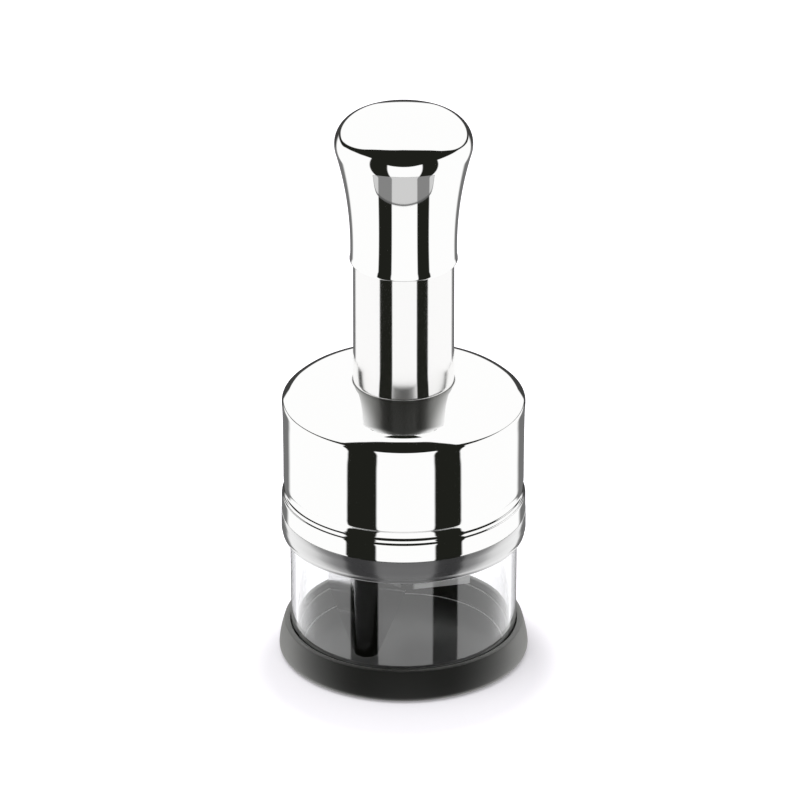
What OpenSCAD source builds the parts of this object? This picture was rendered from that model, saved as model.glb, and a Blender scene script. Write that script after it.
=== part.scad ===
// Plunger food chopper: a steel knob pressed down over a steel tube drives a
// zigzag blade onto a board, inside a clear cup that stands in a black base.
// Lengths in millimetres. +Z is up, the origin is on the table under the axis.

/* [Base] */
// Outer diameter of the base at its foot
base_d = 100.5; // [94:0.5:112]
// Height of the base's rim above the table
base_rim_h = 13.4; // [11:0.2:18]
// How far the base's rim stands in from its foot
rim_in = 2.05; // [1.5:0.05:3]
// Rounding of the base's foot
base_edge_r = 2.4; // [1:0.2:4]
// Thickness of the base's floor above the foot pad
base_floor_t = 1.0; // [0.8:0.1:2]
// Thickness of the rubber foot pad
pad_t = 0.9; // [0.7:0.1:1.4]
// How far the foot pad stands below the base
pad_proud = 0.4; // [0.2:0.1:0.6]
// Thickness of the chopping board disc
board_t = 1.5; // [1:0.1:2.4]
// Wall of the ring that holds the board inside the cup
plug_wall = 1.0; // [0.8:0.1:1.6]
// Height of that ring above the table
plug_h = 12.0; // [8:0.2:16]

/* [Cup] */
// How far the cup's foot stands in from the base's rim
cup_in = 2.8; // [2.2:0.1:4]
// How much wider the cup is at its mouth, on the radius
cup_draft = 0.3; // [0:0.1:0.6]
// Wall of the clear cup
cup_wall = 2.7; // [2:0.1:3.2]
// Height of the cup
cup_h = 55.0; // [48:0.5:64]

/* [Housing] */
// How far the grey ring under the steel stands out from the cup
ring_out = 3.45; // [3:0.05:4]
// How far the ring reaches down over the cup
ring_overlap = 4.9; // [3:0.1:8]
// Visible height of the ring
ring_h = 9.85; // [8:0.1:13]
// How far the steel's flared lower edge stands out from the ring
flare_out = 0.5; // [0.3:0.05:0.8]
// How far the steel wall stands in from the ring
wall_in = 0.85; // [0.5:0.05:1.2]
// How far the wall's upper edge stands out from the wall
top_out = 0.5; // [0:0.05:0.8]
// Height of the steel from its lower edge to the upper edge rounding
wall_h = 47.95; // [42:0.05:60]
// How far the bead pressed into the wall stands out from it
bead_out = 0.7; // [0.3:0.05:1]
// Depth of the groove above the bead
groove_in = 0.3; // [0.1:0.05:0.5]
// Thickness of the steel shell
shell_t = 0.8; // [0.6:0.1:1]
// Rounding at the wall's upper edge
dome_edge_r = 2.2; // [1.6:0.1:4]
// Radius of the bend between that rounding and the dome
dome_bend_r = 13.4; // [8:0.1:20]
// Slope of the dome beside the tube, in degrees
dome_slope = 10; // [6:1:14]
// Slope of the dome beside its edge, in degrees
dome_edge_slope = 26; // [20:1:32]
// Diameter at which the dome starts to curve down
dome_flat_d = 78; // [70:0.5:82]

/* [Tube] */
// Outer diameter of the guide tube
tube_d = 40.4; // [36:0.2:42]
// Wall of the guide tube
tube_wall = 0.9; // [0.7:0.1:1.2]
// Length of tube seen between the dome and the knob
tube_seen = 52.8; // [40:0.5:64]
// Length of tube hidden inside the knob
tube_hidden = 19.5; // [16:0.5:24]

/* [Knob] */
// How far the knob's lip stands out from its waist
lip_out = 0.3; // [0.2:0.05:0.6]
// Height of the waist above the lip
waist_up = 5.7; // [4:0.1:8]
// How far the knob's widest place stands out from the tube
knob_out = 7.35; // [5:0.05:9]
// Height of the widest place above the waist
flare_h = 44.65; // [40:0.5:54]
// Rounding of the knob's shoulder
shoulder_r = 10.2; // [8:0.2:11]
// Slope at which the crown meets the shoulder, in degrees
crown_slope = 13; // [8:1:20]
// Wall of the knob at its waist
knob_wall = 1.0; // [0.8:0.1:1.2]

/* [Blade] */
// How far the knob can be pressed
stroke = 11.5; // [8:0.5:14]
// Turn of the blade over one full stroke, in degrees
turn = 30; // [10:5:40]
// Thickness of the blade
blade_t = 0.8; // [0.6:0.1:1.2]
// Bend radius of the blade's front fold
fold_r = 4.6; // [3:0.2:6]
// Bend radius of the blade's back fold
back_r = 3.0; // [2:0.2:4]
// Direction of the front fold seen from the axis, in degrees
fold_dir = 246; // [236:1:256]
// Lean of the two long legs, in degrees
leg_lean = 11.5; // [8:0.5:15]
// Heading of the short third leg, in degrees
third_heading = 13; // [5:1:20]
// Height of the ground cutting edge
edge_h = 2.2; // [1:0.1:4]

/* [Inside] */
// Diameter of the plunger rod
rod_d = 10.0; // [8:0.5:11]
// Diameter of the pins
pin_d = 3.0; // [2:0.1:3.4]
// Wire diameter of the return spring
wire_d = 1.4; // [1:0.1:1.8]
// Turns of the return spring
spring_turns = 9; // [6:1:10]
// Number of screws in each ring of screws
screw_count = 3; // [3:1:4]
// Shank diameter of the screws
screw_d = 3.0; // [2.4:0.1:3.2]

/* [Fits] */
// Radial gap of a running fit
run_fit = 0.06; // [0.03:0.01:0.1]
// Gap between parts that come apart
loose = 0.35; // [0.3:0.05:0.5]
// Gap between faces that lie on each other
seat_gap = 0.1; // [0.05:0.05:0.15]
// Radial gap of parts that are pressed or screwed together
close_fit = 0.05; // [0.02:0.01:0.08]

/* [Hidden] */
$fn = 96;
over = 1;                 // overrun of cuts
arc_steps = 10;
edge_break = 0.4;         // small chamfers
base_r = base_d / 2;
rim_r = base_r - rim_in;
cup_r0 = rim_r - cup_in;
cup_r1 = cup_r0 + cup_draft;
cup_ri = cup_r0 - cup_wall;
pad_r = cup_ri - loose;
plug_r = cup_ri - loose;
plug_ri = plug_r - plug_wall;
recess_z = pad_t;
floor_z = recess_z + base_floor_t;
board_r = plug_ri - loose;
board_z1 = floor_z + board_t;
seat_z = board_z1 - edge_break;
cup_z0 = seat_z + seat_gap;
cup_z1 = cup_z0 + cup_h;
skirt_power = 1.5;
skirt_steps = 8;

// ring, liner and shell
ring_r = cup_r1 + ring_out;
ring_z0 = cup_z1 - ring_overlap;
shell_z0 = ring_z0 + ring_h;
wall_z1 = shell_z0 + wall_h;
wall_r = ring_r - wall_in;
wall_r1 = wall_r + top_out;
flare_r = ring_r + flare_out;
bead_r = wall_r + bead_out;
groove_r = wall_r - groove_in;
dip = groove_in / 3;
lip_share = 0.036;        // heights of lip, bead and grooves as shares of the wall
bead_share = 0.127;
groove_share = 0.193;
line_share = 0.266;
plain_share = 0.36;
bulge_share = 0.9;
lip_z1 = shell_z0 + lip_share * wall_h;
gasket_t = 1.2;
ledge_z0 = cup_z1 + gasket_t + 2 * seat_gap;
ledge_t = 1.6;
ledge_z1 = ledge_z0 + ledge_t;
socket_r = cup_r1 + loose;
sweep_r = cup_ri - 5 * edge_break;
ledge_r = sweep_r + 2 * loose;
liner_r = groove_r - shell_t - 2 * close_fit;
liner_wall = 2.2;
liner_ri = liner_r - liner_wall;
press_r = wall_r - shell_t - close_fit;

// dome: cone, large arc, bend and edge arc, each tangent to the next
edge_turn = 50;
edge_cx = wall_r1 - dome_edge_r;
bend_cx = edge_cx + (dome_edge_r - dome_bend_r) * sin(edge_turn);
bend_cz = wall_z1 + (dome_edge_r - dome_bend_r) * cos(edge_turn);
knee_r = bend_cx + dome_bend_r * sin(dome_edge_slope);
knee_z = bend_cz + dome_bend_r * cos(dome_edge_slope);
flat_r = dome_flat_d / 2;
dome_r = (knee_r - flat_r) / (sin(dome_edge_slope) - sin(dome_slope));
dome_cx = knee_r - dome_r * sin(dome_edge_slope);
dome_cz = knee_z - dome_r * cos(dome_edge_slope);
tube_r = tube_d / 2;
tube_ri = tube_r - tube_wall;
function cone_z(r, t) =
    dome_cz + (dome_r - t) * cos(dome_slope)
    + (dome_cx + (dome_r - t) * sin(dome_slope) - r) * tan(dome_slope);
tube_z0 = cone_z(tube_r, 0);

// knob: lip, waist arc, shoulder arc and crown, each tangent to the next
lip_z = tube_z0 + tube_seen;
waist_z = lip_z + waist_up;
waist_r = tube_r + run_fit + knob_wall;
knob_r = tube_r + knob_out;
shoulder_x = knob_r - shoulder_r;
shoulder_z = waist_z + flare_h;
waist_gap = waist_r - shoulder_x;
waist_arc = (waist_gap * waist_gap + flare_h * flare_h - shoulder_r * shoulder_r)
    / (2 * (shoulder_r - waist_gap));
flare_tilt = atan(flare_h / (waist_arc + waist_gap));
crown_r = shoulder_x / sin(crown_slope) + shoulder_r;
crown_z = shoulder_z - shoulder_x / tan(crown_slope);
lip_r = waist_r + lip_out;
lip_bevel = 0.8;

// stack of the inside, from the blade up
blade_z0 = board_z1 + stroke + seat_gap;
guard_t = 2.0;
guard_z0 = ledge_z1 + seat_gap;
guard_z1 = guard_z0 + guard_t;
guard_rim_h = 1.6;
carrier_z0 = guard_z1 + guard_rim_h + stroke + loose;
carrier_t = 4.4;
carrier_z1 = carrier_z0 + carrier_t;
blade_z1 = carrier_z0 + carrier_t / 2;
roof_t = 3.0;
roof_z1 = wall_z1 - 3 * roof_t + roof_t / 3;
roof_z0 = roof_z1 - roof_t;
bush_z0 = roof_z1 + seat_gap;
flange_t = 3.0;
tube_flange_t = 1.0;
tube_flange_r = tube_r + 4 * tube_flange_t;
tube_flange_z1 = cone_z(tube_flange_r, shell_t) - seat_gap;
tube_flange_z0 = tube_flange_z1 - tube_flange_t;
tube_z1 = lip_z + tube_hidden;
cap_t = 1.5;
cap_z1 = tube_z1 + cap_t + seat_gap;
rod_r = rod_d / 2;
pin_r = pin_d / 2;
sleeve_r = rod_r + 1.5 * pin_d;
screw_r = screw_d / 2;
head_r = 0.92 * screw_d;
head_h = 0.6 * screw_d;
washer_t = 1.0;
plate_t = 2.0;
plate_z0 = cap_z1 + stroke + head_h + 3 * loose;
plate_z1 = plate_z0 + plate_t;
core_z0 = plate_z1 + seat_gap;
core_z1 = shoulder_z + shoulder_r / 2;
wire_r = wire_d / 2;
spring_r = rod_r + 3 * washer_t;
washer_r = spring_r + 2 * wire_r + loose;
slot_w = pin_d + 2 * loose;
slot_z1 = tube_flange_z1 + 0.5 * stroke + 4 * pin_d;
slot_z0 = slot_z1 - stroke;
sleeve_z1 = slot_z1 + 2.5 * pin_d;
spring_seat_z = sleeve_z1 + seat_gap;
spring_z0 = spring_seat_z + washer_t + seat_gap;
spring_z1 = plate_z0 - washer_t - 2 * seat_gap;
clip_t = 1.0;
clip_z0 = plate_z1 + seat_gap;
clip_r = rod_r + 2.6 * clip_t;
pocket_r = clip_r + 2 * loose;
rod_z1 = clip_z0 + 3 * clip_t;
pocket_z1 = rod_z1 + 2 * clip_t;
hub_r = rod_r + 4 * washer_t;
bumper_h = 3.6;
bumper_z1 = bush_z0 - seat_gap;
bumper_z0 = bumper_z1 - bumper_h;
hub_z1 = bumper_z0 - seat_gap;
hub_hole_r = hub_r + 3 * washer_t;
screw_ring_r = tube_flange_r + 1.6 * screw_d;
plate_ring_r = washer_r + head_r + loose;
boss_r = 2.2 * screw_r;
boss_h = 8.0;
flange_r = screw_ring_r + 2 * screw_d;

// blade path: left leg, front fold, right leg, back fold, third leg
fold_at = sweep_r - fold_r - blade_t / 2;
fold_c = [fold_at * cos(fold_dir), fold_at * sin(fold_dir)];
left_dir = [-sin(leg_lean), cos(leg_lean)];
left_foot = fold_c - fold_r * [cos(leg_lean), sin(leg_lean)];
function reach(p, u, r) = -(p * u) + sqrt((p * u) * (p * u) - p * p + r * r);
left_len = reach(left_foot, left_dir, sweep_r - blade_t);
left_end = left_foot + left_len * left_dir;
right_share = 0.9;
right_len = left_len * right_share;
third_share = 0.42;
third_len = left_len * third_share;

function arc(cx, cz, r, a0, a1) =
    [for (i = [0:arc_steps]) let (a = a0 + (a1 - a0) * i / arc_steps)
        [cx + r * cos(a), cz + r * sin(a)]];
function blend(a, b, c, d, t) =
    (2 * b + (c - a) * t + (2 * a - 5 * b + 4 * c - d) * t * t
    + (3 * b - a - 3 * c + d) * t * t * t) / 2;
function smooth(p, n) = concat(
    [for (i = [0:len(p) - 2]) for (k = [0:n - 1])
        blend(p[max(i - 1, 0)], p[i], p[i + 1], p[min(i + 2, len(p) - 1)], k / n)],
    [p[len(p) - 1]]);
function flip(p) = [for (i = [len(p) - 1:-1:0]) p[i]];
function inward(p, t) = [for (q = p) [q[0] - t, q[1]]];

module ring(ro, ri, z0, z1) {
    translate([0, 0, z0])
        difference() {
            cylinder(r = ro, h = z1 - z0);
            translate([0, 0, -over]) cylinder(r = ri, h = z1 - z0 + 2 * over);
        }
}

// a disc or ring with both outer edges broken
module soft_ring(ro, ri, z0, z1, c) {
    rotate_extrude()
        polygon([[ri, z0], [ro - c, z0], [ro, z0 + c], [ro, z1 - c], [ro - c, z1], [ri, z1]]);
}

module round_the_axis(r) {
    for (i = [0:screw_count - 1])
        rotate([0, 0, 90 + 360 * i / screw_count]) translate([r, 0, 0]) children();
}

// base
module base_cap() {
    foot_z = pad_proud;
    skirt = [for (i = [0:skirt_steps]) let (u = i / skirt_steps)
        [base_r - (base_r - rim_r) * pow(u, skirt_power),
         foot_z + base_edge_r + (base_rim_h - edge_break - foot_z - base_edge_r) * u]];
    foot = arc(base_r - base_edge_r, foot_z + base_edge_r, base_edge_r, -90, 0);
    color([0.07, 0.07, 0.07])
        rotate_extrude()
            polygon(concat(
                [[0, recess_z], [pad_r + loose, recess_z], [pad_r + loose, foot_z]],
                foot, skirt,
                [[rim_r - edge_break, base_rim_h], [cup_r0 + loose + edge_break, base_rim_h],
                 [cup_r0 + loose, base_rim_h - edge_break], [cup_r0 + loose, seat_z],
                 [plug_r, seat_z], [plug_r, plug_h - edge_break],
                 [plug_r - edge_break, plug_h], [plug_ri, plug_h],
                 [plug_ri, floor_z], [0, floor_z]]));
}

module foot_pad() {
    color([0.12, 0.12, 0.12])
        soft_ring(pad_r, 0, 0, recess_z - seat_gap, pad_proud / 2);
}

module board() {
    color([0.55, 0.56, 0.57])
        soft_ring(board_r, 0, floor_z + seat_gap, board_z1, edge_break / 2);
}

// clear cup, open at both ends
module cup() {
    lip = cup_wall / 2;
    color([0.92, 0.95, 0.96, 0.3])
        rotate_extrude()
            polygon(concat(
                [[cup_ri + edge_break, cup_z0], [cup_r0 - edge_break, cup_z0],
                 [cup_r0, cup_z0 + edge_break]],
                arc(cup_r1 - lip, cup_z1 - lip, lip, 0, 180),
                [[cup_ri, cup_z0 + edge_break]]));
}

// housing
module housing_liner() {
    lip = 2 * edge_break;
    color([0.35, 0.36, 0.36])
        difference() {
            union() {
                rotate_extrude()
                    polygon(concat(
                        [[socket_r + edge_break, ring_z0]],
                        arc(ring_r - lip, ring_z0 + lip, lip, -90, 0),
                        [[ring_r, shell_z0 - seat_gap], [liner_r, shell_z0 - seat_gap],
                         [liner_r, roof_z0 - roof_t], [press_r, roof_z0],
                         [press_r, roof_z1 - edge_break], [press_r - edge_break, roof_z1],
                         [hub_hole_r, roof_z1], [hub_hole_r, roof_z0],
                         [liner_ri, roof_z0], [liner_ri, ledge_z1],
                         [ledge_r, ledge_z1], [ledge_r, ledge_z0],
                         [socket_r, ledge_z0], [socket_r, ring_z0 + edge_break]]));
                round_the_axis(screw_ring_r)
                    translate([0, 0, roof_z0 - boss_h])
                        cylinder(r = boss_r, h = boss_h + roof_t / 2);
            }
            round_the_axis(screw_ring_r)
                translate([0, 0, roof_z0 - boss_h + roof_t / 2])
                    cylinder(r = screw_r + close_fit, h = boss_h + roof_t);
        }
}

module gasket() {
    color([0.85, 0.85, 0.83])
        ring(socket_r - loose, cup_ri + edge_break, cup_z1 + seat_gap, ledge_z0 - seat_gap);
}

// rolled lip at the foot of the wall
function lip_line() = let (ledge = (flare_r - wall_r) / 5) [
    [wall_r - shell_t, shell_z0], [flare_r - dip, shell_z0], [flare_r, shell_z0 + dip],
    [flare_r, lip_z1 - 2 * dip], [flare_r - ledge, lip_z1 - dip / 2], [wall_r + ledge, lip_z1]];
// bead and groove above it, then a fine line and the plain wall
function wall_line() = let (
        bead_z = shell_z0 + bead_share * wall_h,
        groove_z = shell_z0 + groove_share * wall_h,
        line_z = shell_z0 + line_share * wall_h)
    smooth([[wall_r - dip / 2, lip_z1 + 2 * dip],
        [wall_r + bead_out / 2, (lip_z1 + bead_z) / 2],
        [wall_r + bead_out, bead_z],
        [wall_r + bead_out / 2, bead_z + 0.6 * (groove_z - bead_z)],
        [wall_r - groove_in, groove_z],
        [wall_r - dip, groove_z + 5 * dip],
        [wall_r - dip / 2, line_z - 8 * dip],
        [wall_r - dip / 2, line_z - 4 * dip],
        [wall_r - 2 * dip, line_z],
        [wall_r, line_z + 12 * dip],
        [wall_r, shell_z0 + plain_share * wall_h],
        [wall_r + top_out / 3, shell_z0 + bulge_share * wall_h],
        [wall_r1, wall_z1]], 4);

function shell_line(t) = concat(
    inward(wall_line(), t),
    arc(edge_cx, wall_z1, dome_edge_r - t, 90 / arc_steps, 90 - edge_turn),
    arc(bend_cx, bend_cz, dome_bend_r - t, 89 - edge_turn, 90 - dome_edge_slope),
    arc(dome_cx, dome_cz, dome_r - t, 89 - dome_edge_slope, 90 - dome_slope),
    [[tube_r + close_fit, cone_z(tube_r + close_fit, t)]]);

module housing_shell() {
    color([0.82, 0.83, 0.84])
        rotate_extrude()
            polygon(concat(lip_line(), shell_line(0), flip(shell_line(shell_t))));
}

module guide_tube() {
    color([0.72, 0.72, 0.73]) {
        ring(tube_r, tube_ri, tube_flange_z0, tube_z1);
        ring(tube_flange_r, tube_ri, tube_flange_z0, tube_flange_z1);
    }
}

// bush with two helical slots that turn the rod as it goes down
module index_bush() {
    collar_r = tube_ri - close_fit;
    collar_ri = collar_r - 2 * tube_flange_t;
    slot_steps = 12;
    rib_count = 6;
    color([0.9, 0.9, 0.87])
        difference() {
            union() {
                ring(flange_r, rod_r + run_fit, bush_z0, bush_z0 + flange_t);
                ring(sleeve_r, rod_r + run_fit, bush_z0, sleeve_z1);
                ring(tube_flange_r, collar_ri, bush_z0, tube_flange_z0 - seat_gap);
                ring(collar_r, collar_ri, bush_z0, tube_flange_z1 + 2 * flange_t);
                for (i = [0:rib_count - 1])
                    rotate([0, 0, 360 * (i + 0.5) / rib_count])
                        translate([sleeve_r - flange_t / 2, -tube_flange_t, bush_z0])
                            cube([collar_ri - sleeve_r + flange_t, 2 * tube_flange_t,
                                tube_flange_z0 - bush_z0 - flange_t]);
            }
            for (i = [0:slot_steps])
                rotate([0, 0, turn * (1 - i / slot_steps)])
                    translate([0, 0, slot_z0 + stroke * i / slot_steps])
                        rotate([90, 0, 0])
                            cylinder(d = slot_w, h = 2 * sleeve_r + 2 * over, center = true, $fn = 32);
            round_the_axis(screw_ring_r)
                translate([0, 0, bush_z0 - over])
                    cylinder(r = screw_r + loose, h = flange_t + 2 * over);
        }
}

module screw(z0, z1, up) {
    translate([0, 0, up ? z0 : z1])
        mirror([0, 0, up ? 0 : 1]) {
            difference() {
                translate([0, 0, -head_h]) cylinder(r = head_r, h = head_h, $fn = 48);
                translate([0, 0, -head_h - over])
                    cylinder(r = head_r / 2, h = over + head_h / 2, $fn = 6);
            }
            cylinder(r = screw_r, h = z1 - z0, $fn = 48);
        }
}

module bush_screws() {
    color([0.6, 0.6, 0.62])
        round_the_axis(screw_ring_r)
            screw(roof_z0 - boss_h + roof_t, bush_z0 + flange_t + seat_gap, false);
}

// plastic cap that closes the tube and lets the spring through
module tube_cap() {
    collar_r = tube_ri - close_fit;
    bore_r = washer_r + 2 * loose;
    color([0.9, 0.9, 0.87])
        difference() {
            union() {
                ring(collar_r, bore_r, tube_z1 - 5 * cap_t, tube_z1 + seat_gap);
                ring(tube_r, bore_r, tube_z1 + seat_gap, cap_z1);
            }
        }
}

module spring_seat() {
    color([0.62, 0.62, 0.64])
        ring(washer_r, rod_r + loose, spring_seat_z, spring_seat_z + washer_t);
}

module thrust_washer() {
    color([0.62, 0.62, 0.64])
        ring(washer_r, rod_r + loose, plate_z0 - seat_gap - washer_t, plate_z0 - seat_gap);
}

// one unbroken wire, wound closer at both ends
module return_spring() {
    rings = 8;
    sides = 6;
    n = spring_turns * rings;
    rise = spring_z1 - spring_z0 - wire_d;
    end_share = 0.75 / spring_turns;
    function climb(u) = u < end_share ? 0.5 * u * u / end_share
        : u > 1 - end_share ? 1 - end_share - 0.5 * (1 - u) * (1 - u) / end_share
        : u - 0.5 * end_share;
    pts = [for (i = [0:n]) let (u = i / n, a = 360 * i / rings,
            z = spring_z0 + wire_r + rise * climb(u) / (1 - end_share))
        for (j = [0:sides - 1]) let (b = 360 * j / sides)
            [(spring_r + wire_r * cos(b)) * cos(a), (spring_r + wire_r * cos(b)) * sin(a),
             z + wire_r * sin(b)]];
    walls = [for (i = [0:n - 1]) for (j = [0:sides - 1]) for (side = [0, 1])
        let (k = (j + 1) % sides, a = i * sides + j, b = i * sides + k)
            side == 0 ? [a, b, b + sides] : [a, b + sides, a + sides]];
    color([0.66, 0.66, 0.68])
        polyhedron(points = pts, faces = concat(
            [[for (j = [sides - 1:-1:0]) j]], walls,
            [[for (j = [0:sides - 1]) n * sides + j]]), convexity = 10);
}

// blade strip as one path: a fold is a little thinner and lower, as bent strip is, and runs into
// both legs
module leg(len, t, h) {
    translate([0, -t / 2, 0]) cube([len, t, h]);
    translate([len, 0, 0]) children();
}

module fold(r, a, t, h) {
    lap = 3;
    drawn = blade_t / 16;
    bent = t - 2 * drawn;
    translate([0, r, drawn]) rotate([0, 0, -90 - lap])
        rotate_extrude(angle = a + 2 * lap)
            translate([r - bent / 2, 0]) square([bent, h - 2 * drawn]);
    translate([r * sin(a), r * (1 - cos(a)), 0]) rotate([0, 0, a]) children();
}

module blade_path(t, h, extra) {
    translate([left_end[0], left_end[1], 0])
        rotate([0, 0, leg_lean - 90])
            translate([-extra, 0, 0])
                leg(left_len + extra, t, h)
                    fold(fold_r, 180 - 2 * leg_lean, t, h)
                        leg(right_len, t, h)
                            mirror([0, 1, 0])
                                fold(back_r, 90 - leg_lean - third_heading, t, h)
                                    leg(third_len + extra, t, h);
}

module zigzag_blade() {
    color([0.75, 0.76, 0.77]) {
        translate([0, 0, blade_z0 + edge_h])
            blade_path(blade_t, blade_z1 - blade_z0 - edge_h, 0);
        translate([0, 0, blade_z0])
            blade_path(blade_t / 2, edge_h + blade_t, -blade_t / 2);
    }
}

// disc the blade slides through, which wipes it clean
module food_guard() {
    guard_r = liner_ri - loose;
    color([0.88, 0.88, 0.86])
        difference() {
            union() {
                ring(guard_r, 0, guard_z0, guard_z1);
                ring(guard_r, guard_r - guard_rim_h, guard_z0, guard_z1 + guard_rim_h);
            }
            translate([0, 0, guard_z0 - over])
                blade_path(blade_t + 2 * loose, guard_t + 2 * over, loose);
        }
}

module blade_carrier() {
    carrier_r = sweep_r + 3 * loose;
    color([0.88, 0.88, 0.86])
        difference() {
            union() {
                soft_ring(carrier_r, 0, carrier_z0, carrier_z1, edge_break);
                ring(hub_r, 0, carrier_z0, hub_z1);
            }
            translate([0, 0, carrier_z0 + carrier_t / 4])
                cylinder(r = rod_r + close_fit, h = hub_z1 - carrier_z0);
            translate([0, 0, carrier_z0 - over])
                blade_path(blade_t + 2 * close_fit, carrier_t / 2 + over + seat_gap, close_fit);
            translate([0, 0, (carrier_z1 + hub_z1) / 2]) rotate([90, 0, 0])
                cylinder(r = pin_r + close_fit, h = 2 * hub_r + 2 * over, center = true, $fn = 32);
        }
}

module carrier_pin() {
    color([0.62, 0.62, 0.64])
        translate([0, 0, (carrier_z1 + hub_z1) / 2]) rotate([90, 0, 0])
            cylinder(r = pin_r, h = 2 * hub_r - 2 * edge_break, center = true, $fn = 32);
}

module bumper() {
    color([0.1, 0.1, 0.1]) soft_ring(hub_r, rod_r + loose, bumper_z0, bumper_z1, edge_break);
}

module plunger_rod() {
    rod_z0 = carrier_z0 + carrier_t / 2 + seat_gap;
    color([0.7, 0.7, 0.72])
        difference() {
            union() {
                translate([0, 0, rod_z0]) cylinder(r = rod_r, h = rod_z1 - rod_z0 - edge_break);
                translate([0, 0, rod_z1 - edge_break])
                    cylinder(r1 = rod_r, r2 = rod_r - edge_break, h = edge_break);
            }
            for (z = [(carrier_z1 + hub_z1) / 2, slot_z1])
                translate([0, 0, z]) rotate([90, 0, 0])
                    cylinder(r = pin_r + close_fit, h = 2 * rod_r + 2 * over, center = true, $fn = 32);
            ring(rod_r + over, rod_r - clip_t, clip_z0 - close_fit, clip_z0 + clip_t + close_fit);
        }
}

module cross_pin() {
    color([0.62, 0.62, 0.64])
        translate([0, 0, slot_z1]) rotate([90, 0, 0])
            cylinder(r = pin_r, h = 2 * sleeve_r - 2 * edge_break, center = true, $fn = 32);
}

// open clip that holds the rod's head on the swivel plate
module rod_clip() {
    mouth = 1.3 * rod_r;
    color([0.62, 0.62, 0.64])
        difference() {
            ring(clip_r, rod_r - clip_t + close_fit, clip_z0, clip_z0 + clip_t);
            translate([0, -mouth / 2, clip_z0 - over])
                cube([clip_r + over, mouth, clip_t + 2 * over]);
        }
}

module swivel_plate() {
    color([0.62, 0.62, 0.64])
        difference() {
            ring(plate_ring_r + head_r + loose, rod_r + run_fit, plate_z0, plate_z1);
            round_the_axis(plate_ring_r)
                translate([0, 0, plate_z0 - over])
                    cylinder(r = screw_r + loose, h = plate_t + 2 * over);
        }
}

module swivel_screws() {
    color([0.6, 0.6, 0.62])
        round_the_axis(plate_ring_r)
            screw(plate_z0 - seat_gap, core_z0 + 2.4 * screw_d, true);
}

// knob
function knob_line(t) = concat(
    arc(waist_r + waist_arc, waist_z, waist_arc + t,
        180 + asin((waist_up - 3 * lip_bevel) / waist_arc), 180 - flare_tilt),
    arc(shoulder_x, shoulder_z, shoulder_r - t, -flare_tilt + 90 / arc_steps / 2, 90 - crown_slope),
    arc(0, crown_z, crown_r - t, 90 - crown_slope + 1 / 2, 90));

module knob_shell() {
    inner = knob_line(knob_wall);
    color([0.85, 0.86, 0.87])
        rotate_extrude()
            polygon(concat(
                [[waist_r - knob_wall, lip_z], [lip_r - lip_bevel / 2, lip_z],
                 [lip_r, lip_z + lip_bevel / 2], [lip_r, lip_z + lip_bevel]],
                knob_line(0), flip(inner)));
}

module knob_core() {
    inner = knob_line(knob_wall + close_fit);
    color([0.2, 0.2, 0.2])
        difference() {
            intersection() {
                rotate_extrude()
                    polygon(concat([[0, lip_z], [inner[0][0], lip_z]], inner));
                translate([0, 0, core_z0]) cylinder(r = knob_r, h = core_z1 - core_z0);
            }
            translate([0, 0, core_z0 - over])
                cylinder(r = pocket_r, h = pocket_z1 - core_z0 + over);
            round_the_axis(plate_ring_r)
                translate([0, 0, core_z0 - over])
                    cylinder(r = screw_r + close_fit, h = 3 * screw_d + over);
        }
}

base_cap();
foot_pad();
board();
cup();
housing_liner();
gasket();
housing_shell();
guide_tube();
index_bush();
bush_screws();
tube_cap();
spring_seat();
return_spring();
thrust_washer();
food_guard();
knob_shell();
knob_core();
swivel_plate();
swivel_screws();
plunger_rod();
rod_clip();
cross_pin();
blade_carrier();
carrier_pin();
zigzag_blade();
bumper();
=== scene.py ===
# %% [markdown]
# # A plunger food chopper
# A polished steel knob slides on a satin steel tube, which stands on a domed steel
# housing. Under it a clear cup shows a zigzag blade over a board, in a black base.
# The solids come from the part's own model. This script dresses them: it makes the
# round pieces again as smooth surfaces of revolution, because a mirror shows every
# facet, and it gives each piece the finish of the real one.

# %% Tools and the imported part
from math import asin, atan, cos, pi, radians, sin, sqrt, tan

import bmesh
import bpy
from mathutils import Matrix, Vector


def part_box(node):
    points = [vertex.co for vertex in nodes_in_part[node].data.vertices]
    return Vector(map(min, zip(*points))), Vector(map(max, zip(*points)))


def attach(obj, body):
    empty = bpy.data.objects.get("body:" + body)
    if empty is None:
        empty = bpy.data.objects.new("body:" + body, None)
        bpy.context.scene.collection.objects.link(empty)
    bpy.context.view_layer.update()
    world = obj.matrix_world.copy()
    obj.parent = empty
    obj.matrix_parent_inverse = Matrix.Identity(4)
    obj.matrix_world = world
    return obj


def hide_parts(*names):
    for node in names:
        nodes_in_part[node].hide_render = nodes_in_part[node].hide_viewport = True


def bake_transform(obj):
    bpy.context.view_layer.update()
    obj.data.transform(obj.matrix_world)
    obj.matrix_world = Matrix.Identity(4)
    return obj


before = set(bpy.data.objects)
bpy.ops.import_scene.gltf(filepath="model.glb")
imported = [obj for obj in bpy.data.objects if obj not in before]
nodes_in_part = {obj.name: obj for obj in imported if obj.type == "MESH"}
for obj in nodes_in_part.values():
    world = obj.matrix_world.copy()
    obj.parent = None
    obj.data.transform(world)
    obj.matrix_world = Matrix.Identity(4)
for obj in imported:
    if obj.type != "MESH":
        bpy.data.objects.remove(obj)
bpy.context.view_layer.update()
MM = 0.001

# %% [markdown]
# ## The camera
# The photograph looks down on the chopper from about 26 degrees and from far away,
# because its outlines hardly narrow towards the top. Fitting the rims, which show as
# ellipses, gave the distance and the height that the camera aims at. A long lens
# then fills the square frame as the photograph does.

# %% The camera
LOOK_DOWN = radians(26.245)
CAMERA_FAR = 3.828723
AIM = Vector((-0.001452, 0, 0.111025))
FILM_WIDTH = 36
FRAME_WIDTH = 0.32


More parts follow.
